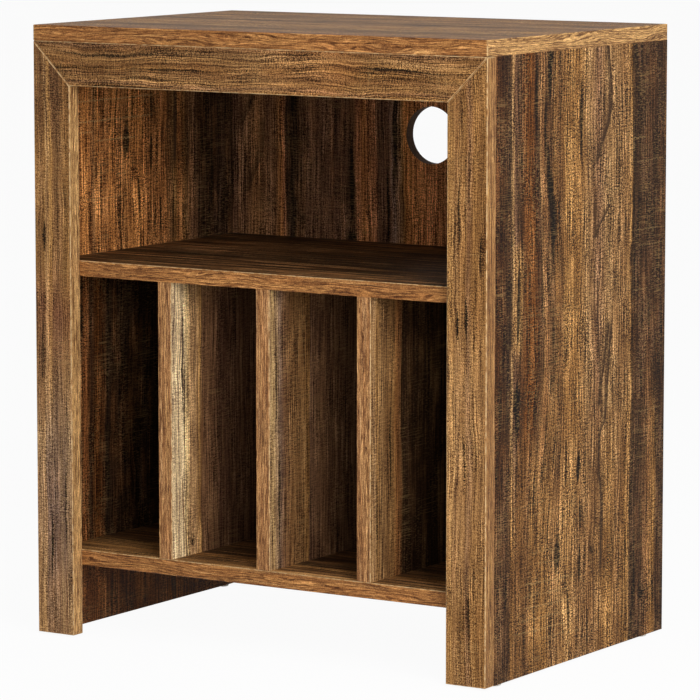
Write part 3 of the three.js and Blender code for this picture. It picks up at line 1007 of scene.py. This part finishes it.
def addTape(nodeName, tape, litSide):
    # the side given points towards the light, and the arrises facing it get the painted highlight and pale
    # core
    # only the arrises at the open face are rounded, so the tape meets its board flush
    pieceName, work, _, (lowest, highest) = copyNode(nodeName)
    weld = boardSettings["weld"]
    ends = (lowest[0], highest[0]) if nodeName == "top_edge_tape" else ()
    arrises = []
    for edge in work.edges:
        if edge.calc_face_angle(0.0) < sharp or not edge.is_convex:
            continue
        places = [vert.co for vert in edge.verts]
        atFront = all(place.y < lowest[1] + weld for place in places)
        atEnd = any(all(abs(place.x - end) < weld for place in places) for end in ends)
        if atFront or atEnd:
            arrises.append(edge)
    for face in roundEdges(work, arrises, "tape"):
        if face.normal.dot(Vector(litSide)) > 0.2 and (litSide[2] or abs(face.normal.z) < 0.1):
            face.material_index = 1
    finishPiece(pieceName, work, (tape, arrisHighlightAndCore), "edge_tape", nodeName)


towardsRight = (1.0, 0.0, 0.0)
towardsLeft = (-1.0, 0.0, 0.0)
forwards = (0.0, -1.0, 0.0)
upwards = (0.0, 0.0, 1.0)
downwards = (0.0, 0.0, -1.0)
addTape("top_edge_tape", tapeRound, towardsRight)
for shelf in ("upper_shelf", "bottom_shelf"):
    addTape(shelf + "_edge_tape", tapeLying, upwards)
for name in dividerRecipes:
    addTape(name + "_divider_edge_tape", tapeUpright, towardsRight)
print("edge tapes done")

# Fittings: each kind is made once and set on all its places. Sizes are in metres.

camSizes = {
    "diameter": 0.015,
    "thickness": 0.0125,
    "chamfer": 0.0004,
    "slotLength": 0.009,
    "crossLength": 0.006,
    "slotWidth": 0.0016,
    "slotDepth": 0.002,
    "channel": 0.0062,  # the hole that the bolt's head comes in by
    "channelLength": 0.02,
    "channelDepth": 0.009,  # from the mouth to the middle of the hole
    "rim": 0.86,  # this one and the next are shares of the radius
    "rimInside": 0.82,
    "rimDepth": 0.0003,
    "arrow": 0.0011,
    "arrowDepth": 0.0014,
    "arrowPlace": 0.62,  # a share of the radius
}

boltSizes = {
    "thread": 0.005,
    "threadLength": 0.011,
    "threadDepth": 0.0004,
    "shank": 0.007,
    "shankLength": 0.0262,
    "neck": 0.0032,
    "head": 0.0056,
    "headBase": 0.03175,
    "headTop": 0.03625,
}

screwSizes = {
    "head": 0.008,
    "headDepth": 0.003,
    "shank": 0.0034,
    "thread": 0.004,
    "plainLength": 0.016,
    "length": 0.05,
    "point": 0.005,
    "crossLength": 0.0044,
    "crossWidth": 0.001,
    "crossDepth": 0.0016,
}

glideSizes = {
    "diameter": 0.014,
    "height": 0.003,
    "round": 0.0012,
    "nail": 0.002,
    "nailLength": 0.012,
    "nailPoint": 0.002,
}

# Corners round a cam or a glide, and round a bolt or a screw
wideSides = 32
slimSides = 20


def newFittingTree(name, sizes):
    tree = bpy.data.node_groups.new(name, "GeometryNodeTree")
    tree.interface.new_socket("places", in_out="INPUT", socket_type="NodeSocketGeometry")
    for key in sizes:
        tree.interface.new_socket(key, in_out="INPUT", socket_type="NodeSocketFloat")
    tree.interface.new_socket("fittings", in_out="OUTPUT", socket_type="NodeSocketGeometry")
    sheet = NodeSheet(tree)
    given = {key: sheet.node("NodeGroupInput", output=key) for key in ("places", *sizes)}
    return tree, sheet, given


def turnedBody(sheet, rings, sides):  # rings are pairs of radius and height, from one end to the other
    row = sides + 1
    grid = sheet.node("GeometryNodeMeshGrid", {}, {"Vertices X": len(rings), "Vertices Y": row})
    index = sheet.node("GeometryNodeInputIndex")
    ring = sheet.node("ShaderNodeMath", {"operation": "FLOOR"}, {0: (index + 0.5) / row})
    angle = (index - ring * row) * (-2 * math.pi / sides)  # this way round, faces point outwards
    settings = {"data_type": "FLOAT", "choices": len(rings)}
    radius, height = (
        sheet.node("GeometryNodeIndexSwitch", settings, dict(enumerate([ring, *measures])))
        for measures in zip(*rings)
    )
    across = radius * angle.maths("COSINE", angle)
    along = radius * angle.maths("SINE", angle)
    place = sheet.node("ShaderNodeCombineXYZ", {}, {0: across, 1: along, 2: height})
    bent = sheet.node("GeometryNodeSetPosition", {}, {"Geometry": grid, "Position": place})
    return sheet.node("GeometryNodeMergeByDistance", {}, {"Geometry": bent, "Distance": 0.000002})


def bar(sheet, length, width, depth, place, turn=0.0):  # a cutter, centred on its place
    size = sheet.node("ShaderNodeCombineXYZ", {}, {0: length, 1: width, 2: depth})
    block = sheet.node("GeometryNodeMeshCube", {}, {"Size": size})
    moved = {"Geometry": block, "Translation": place, "Rotation": (0.0, 0.0, turn)}
    return sheet.node("GeometryNodeTransform", {}, moved)


def finishFittingTree(tree, sheet, given, body, cutters, material):
    if cutters:
        settings = {"operation": "DIFFERENCE", "solver": "EXACT"}
        body = sheet.node("GeometryNodeMeshBoolean", settings, {"Mesh 1": body, "Mesh 2": cutters})
    vector = {"data_type": "FLOAT_VECTOR"}
    named = sheet.node("GeometryNodeInputNamedAttribute", vector, {"Name": "turn"})
    turn = sheet.node("FunctionNodeEulerToRotation", {}, {0: named})
    seats = {"Points": given["places"], "Instance": body, "Rotation": turn}
    many = sheet.node("GeometryNodeInstanceOnPoints", {}, seats)
    real = sheet.node("GeometryNodeRealizeInstances", {}, {0: many})
    dressed = sheet.node("GeometryNodeSetMaterial", {}, {"Geometry": real, "Material": material})
    sheet.node("NodeGroupOutput", {}, {0: dressed})
    return tree


def camTree(material):  # its own Z comes out of the mouth, and its X points back at the bolt
    tree, sheet, given = newFittingTree("cam", camSizes)
    radius = given["diameter"] / 2
    mouth = given["thickness"] / 2
    chamfer = given["chamfer"]
    rings = [
        (0.0, -mouth),
        (radius - chamfer, -mouth),
        (radius, chamfer - mouth),
        (radius, mouth - chamfer),
        (radius - chamfer, mouth),
        (radius * given["rim"], mouth),
        (radius * given["rimInside"], mouth - given["rimDepth"]),
        (0.0, mouth - given["rimDepth"]),
    ]
    body = turnedBody(sheet, rings, wideSides)
    floor = sheet.node("ShaderNodeCombineXYZ", {}, {2: mouth})
    depth = given["slotDepth"] * 2
    arrow = {"Vertices": 3, "Radius": given["arrow"], "Depth": given["arrowDepth"]}
    channel = {"Vertices": 16, "Radius": given["channel"] / 2, "Depth": given["channelLength"]}
    arrowPlace = {0: radius * given["arrowPlace"], 2: mouth}
    arrowMoved = {
        "Geometry": sheet.node("GeometryNodeMeshCylinder", {}, arrow),
        "Translation": sheet.node("ShaderNodeCombineXYZ", {}, arrowPlace),
    }
    channelHeight = camSizes["thickness"] / 2 - camSizes["channelDepth"]
    channelMoved = {
        "Geometry": sheet.node("GeometryNodeMeshCylinder", {}, channel),
        "Translation": (camSizes["diameter"] / 2, 0.0, channelHeight),
        "Rotation": (0.0, math.pi / 2, 0.0),
    }
    cutters = [
        bar(sheet, given["slotLength"], given["slotWidth"], depth, floor, math.pi / 2),
        bar(sheet, given["crossLength"], given["slotWidth"], depth, floor),
        sheet.node("GeometryNodeTransform", {}, arrowMoved),
        sheet.node("GeometryNodeTransform", {}, channelMoved),
    ]
    return finishFittingTree(tree, sheet, given, body, cutters, material)


def boltTree(material):  # its own Z runs from the joint to the cam
    tree, sheet, given = newFittingTree("bolt", boltSizes)
    crest = given["thread"] / 2
    root = crest - given["threadDepth"]
    shank = given["shank"] / 2
    neck = given["neck"] / 2
    head = given["head"] / 2
    turns = 7
    rings = [(0.0, -given["threadLength"]), (root * 0.8, -given["threadLength"])]
    for turn in range(turns):
        share = 1.0 - (turn + 0.4) / turns
        rings.append((crest, given["threadLength"] * -share))
        rings.append((root, given["threadLength"] * -(share - 0.5 / turns)))
    rings += [
        (shank, 0.0),
        (shank, given["shankLength"]),
        (neck, given["shankLength"]),
        (neck, given["headBase"]),
        (head, given["headBase"] + 0.0006),
        (head, given["headTop"] - 0.001),
        (head * 0.7, given["headTop"]),
        (0.0, given["headTop"]),
    ]
    body = turnedBody(sheet, rings, slimSides)
    return finishFittingTree(tree, sheet, given, body, [], material)


def screwTree(material):  # its own Z runs from the face of the head to the point
    tree, sheet, given = newFittingTree("screw", screwSizes)
    crest = given["thread"] / 2
    root = crest * 0.72
    head = given["head"] / 2
    shank = given["shank"] / 2
    rings = [
        (0.0, 0.0),
        (head - 0.0002, 0.0),
        (head, 0.0003),
        (shank, given["headDepth"]),
        (shank, given["plainLength"]),
    ]
    turns = 13
    threaded = given["length"] - given["point"] - given["plainLength"]
    for turn in range(turns):
        rings.append((crest, given["plainLength"] + threaded * ((turn + 0.35) / turns)))
        rings.append((root, given["plainLength"] + threaded * ((turn + 0.9) / turns)))
    rings += [(root * 0.8, given["length"] - given["point"] * 0.7), (0.0, given["length"])]
    body = turnedBody(sheet, rings, slimSides)
    depth = given["crossDepth"] * 2
    width = given["crossWidth"]
    centre = (0.0, 0.0, 0.0)
    cutters = [
        bar(sheet, given["crossLength"], width, depth, centre),
        bar(sheet, given["crossLength"], width, depth, centre, math.pi / 2),
        bar(sheet, width * 1.5, width * 1.5, depth, centre, math.pi / 4),
    ]
    return finishFittingTree(tree, sheet, given, body, cutters, material)


def glideTree(material):  # its own Z runs up from the floor
    tree, sheet, given = newFittingTree("glide", glideSizes)
    radius = given["diameter"] / 2
    curve = given["round"]
    nail = given["nail"] / 2
    nailTop = given["height"] + given["nailLength"]
    rings = [
        (0.0, 0.0),
        (radius - curve * 1.6, 0.0),
        (radius - curve * 0.85, curve * 0.2),
        (radius - curve * 0.3, curve * 0.55),
        (radius, curve),
        (radius, given["height"] - 0.0003),
        (radius - 0.0003, given["height"]),
        (nail, given["height"]),
        (nail, nailTop - given["nailPoint"]),
        (0.0, nailTop),
    ]
    body = turnedBody(sheet, rings, wideSides)
    return finishFittingTree(tree, sheet, given, body, [], material)


def seat(place, zAxis, xAxis):  # where a fitting stands, and how it is turned
    up = Vector(zAxis)
    out = Vector(xAxis)
    turn = Matrix((out, up.cross(out), up)).transposed().to_euler()
    return Vector(place), Vector(turn)


def addFittings(pieceName, tree, sizes, seats, slotName):
    mesh = bpy.data.meshes.new(pieceName + "Places")
    mesh.from_pydata([place for place, _ in seats.values()], [], [])
    turns = mesh.attributes.new("turn", "FLOAT_VECTOR", "POINT")
    for spot, (_, turn) in zip(turns.data, seats.values()):
        spot.vector = turn
    carrier = bpy.data.objects.new(pieceName + "Carrier", mesh)
    bpy.context.scene.collection.objects.link(carrier)
    modifier = carrier.modifiers.new("fittings", "NODES")
    modifier.node_group = tree
    for item in tree.interface.items_tree:
        if item.in_out == "INPUT" and item.name in sizes:
            modifier[item.identifier] = sizes[item.name]
    ready = carrier.evaluated_get(bpy.context.evaluated_depsgraph_get())
    plain = bpy.data.meshes.new_from_object(ready)
    bpy.data.objects.remove(carrier)
    dressing = next(material for material in plain.materials if material)
    plain.materials.clear()
    plain.materials.append(dressing)
    work = bmesh.new()
    work.from_mesh(plain)
    bmesh.ops.remove_doubles(work, verts=work.verts, dist=0.000001)
    for face in work.faces:
        face.material_index = 0
    bmesh.ops.recalc_face_normals(work, faces=work.faces)
    work.to_mesh(plain)
    work.free()
    addPiece(pieceName, plain, slotName, *seats)
    print(pieceName, "done:", len(seats), "places,", len(plain.polygons), "faces")


def seatsOf(ending):  # every node of one kind, and how it sits
    seats = {}
    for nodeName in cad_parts:
        if not nodeName.endswith(ending):
            continue
        low, high = (Vector(corner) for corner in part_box(nodeName))
        middle = (low + high) / 2
        inward, outwards = (towardsRight, towardsLeft) if middle.x < 0 else (towardsLeft, towardsRight)
        onTop = nodeName.startswith("top_")
        if ending == "_cam" and onTop:  # the mouth faces inwards, and the bolt comes from above
            seats[nodeName] = seat(middle, inward, upwards)
        elif ending == "_cam":  # the mouth faces down, and the bolt comes from the side panel
            seats[nodeName] = seat(middle, downwards, outwards)
        elif ending == "_bolt" and onTop:
            start = (middle.x, middle.y, high.z - boltSizes["threadLength"])
            seats[nodeName] = seat(start, downwards, inward)
        elif ending == "_bolt":
            end = low.x if middle.x < 0 else high.x
            start = (end + inward[0] * boltSizes["threadLength"], middle.y, middle.z)
            seats[nodeName] = seat(start, inward, upwards)
        elif ending == "_screw" and nodeName.startswith("back_"):
            seats[nodeName] = seat((middle.x, high.y, middle.z), forwards, (0.7071, 0.0, 0.7071))
        elif ending == "_screw":
            seats[nodeName] = seat((middle.x, middle.y, low.z), upwards, (0.9397, 0.342, 0.0))
        else:
            seats[nodeName] = seat((middle.x, middle.y, low.z), upwards, towardsRight)
    return seats


zinc = zincMaterial()
nylon = nylonMaterial()
bareWood = bareWoodMaterial()
addFittings("cams", camTree(zinc), camSizes, seatsOf("_cam"), "zinc_plate")
addFittings("bolts", boltTree(zinc), boltSizes, seatsOf("_bolt"), "zinc_plate")
addFittings("screws", screwTree(zinc), screwSizes, seatsOf("_screw"), "zinc_plate")
addFittings("glides", glideTree(nylon), glideSizes, seatsOf("_glide"), "white_nylon")

for nodeName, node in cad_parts.items():  # splines and biscuits keep the frame's own shape
    if not nodeName.endswith(("_spline", "_biscuit")):
        continue
    node.data.materials.clear()
    node.data.materials.append(bareWood)
print("splines and biscuits done")

# Floor, lights and camera

stageSettings = {
    "floorSize": 30.0,
    "shadowKept": 0.05,
    "ambient": 0.22,
    "aimHeight": 0.35,  # the lamps point at this height over the origin
}

lampSettings = {  # azimuth and elevation in degrees, distance and size in metres, and power
    "key lamp": (54, 26, 2.8, 1.2, 40.0),
    "fill lamp": (40, 10, 3.3, 1.5, 30.0),
    "top lamp": (20, 78, 3.0, 1.5, 14.0),
}

cameraSettings = {
    "azimuth": 32.615,
    "elevation": 7.344,
    "place": (2.5827, -4.0377, 0.9475),
    "lens": 216.61,
    "sensor": 36.0,
    "clip": (0.05, 60.0),
}


def whiteShare(sheet):  # 1 for the rays that should see plain white
    kinds = ("Is Camera Ray", "Is Glossy Ray", "Is Transmission Ray")
    seen, glossy, through = (sheet.node("ShaderNodeLightPath", output=kind) for kind in kinds)
    return seen.atLeast(glossy).atLeast(through)


def addFloor():
    bpy.ops.mesh.primitive_plane_add(size=stageSettings["floorSize"], location=(0, 0, 0))
    floor = bpy.context.object
    floor.name = "floor"
    material, sheet = newMaterial("pale floor")
    x, y, _ = sheet.millimetres()
    cloud = sheet.noise(x / 900.0, y / 900.0, 2.0, 2.0)
    colour = sheet.ramp(cloud * 100.0, [(20, "f4f3f1"), (80, "fafaf9")])
    matt = sheet.node("ShaderNodeBsdfDiffuse", {}, {0: colour})
    white = sheet.node("ShaderNodeEmission", {}, {0: (1, 1, 1, 1), 1: 1.0})
    share = whiteShare(sheet) * (1.0 - stageSettings["shadowKept"])
    mixed = sheet.node("ShaderNodeMixShader", {}, {0: share, 1: matt, 2: white})
    sheet.node("ShaderNodeOutputMaterial", {}, {0: mixed})
    floor.data.materials.append(material)


def setWorld():
    world = bpy.data.worlds.new("studio")
    bpy.context.scene.world = world
    world.use_nodes = True
    world.node_tree.nodes.clear()
    sheet = NodeSheet(world.node_tree)
    share = whiteShare(sheet)
    strength = share * (1.0 - stageSettings["ambient"]) + stageSettings["ambient"]
    light = sheet.node("ShaderNodeBackground", {}, {0: (1, 1, 1, 1), 1: strength})
    sheet.node("ShaderNodeOutputWorld", {}, {0: light})


def outward(azimuth, elevation):  # the direction from the stand to a lamp or to the camera
    turn = math.radians(azimuth)
    rise = math.radians(elevation)
    return Vector((math.sin(turn) * math.cos(rise), -math.cos(turn) * math.cos(rise), math.sin(rise)))


def addAimed(name, data, place, direction):  # it looks back against its direction
    aimed = bpy.data.objects.new(name, data)
    aimed.location = place
    aimed.rotation_mode = "QUATERNION"
    aimed.rotation_quaternion = (-direction).to_track_quat("-Z", "Y")
    bpy.context.scene.collection.objects.link(aimed)
    return aimed


def addLamps():
    aim = Vector((0.0, 0.0, stageSettings["aimHeight"]))
    for name, (azimuth, elevation, distance, size, power) in lampSettings.items():
        lamp = bpy.data.lights.new(name, "AREA")
        lamp.size = size
        lamp.energy = power
        direction = outward(azimuth, elevation)
        addAimed(name, lamp, aim + direction * distance, direction)


def addCamera():
    camera = bpy.data.cameras.new("camera")
    camera.lens = cameraSettings["lens"]
    camera.sensor_width = cameraSettings["sensor"]
    camera.clip_start, camera.clip_end = cameraSettings["clip"]
    direction = outward(cameraSettings["azimuth"], cameraSettings["elevation"])
    bpy.context.scene.camera = addAimed("camera", camera, cameraSettings["place"], direction)


addFloor()
setWorld()
addLamps()
addCamera()
bpy.context.scene.view_settings.view_transform = "Standard"
print("stage done")
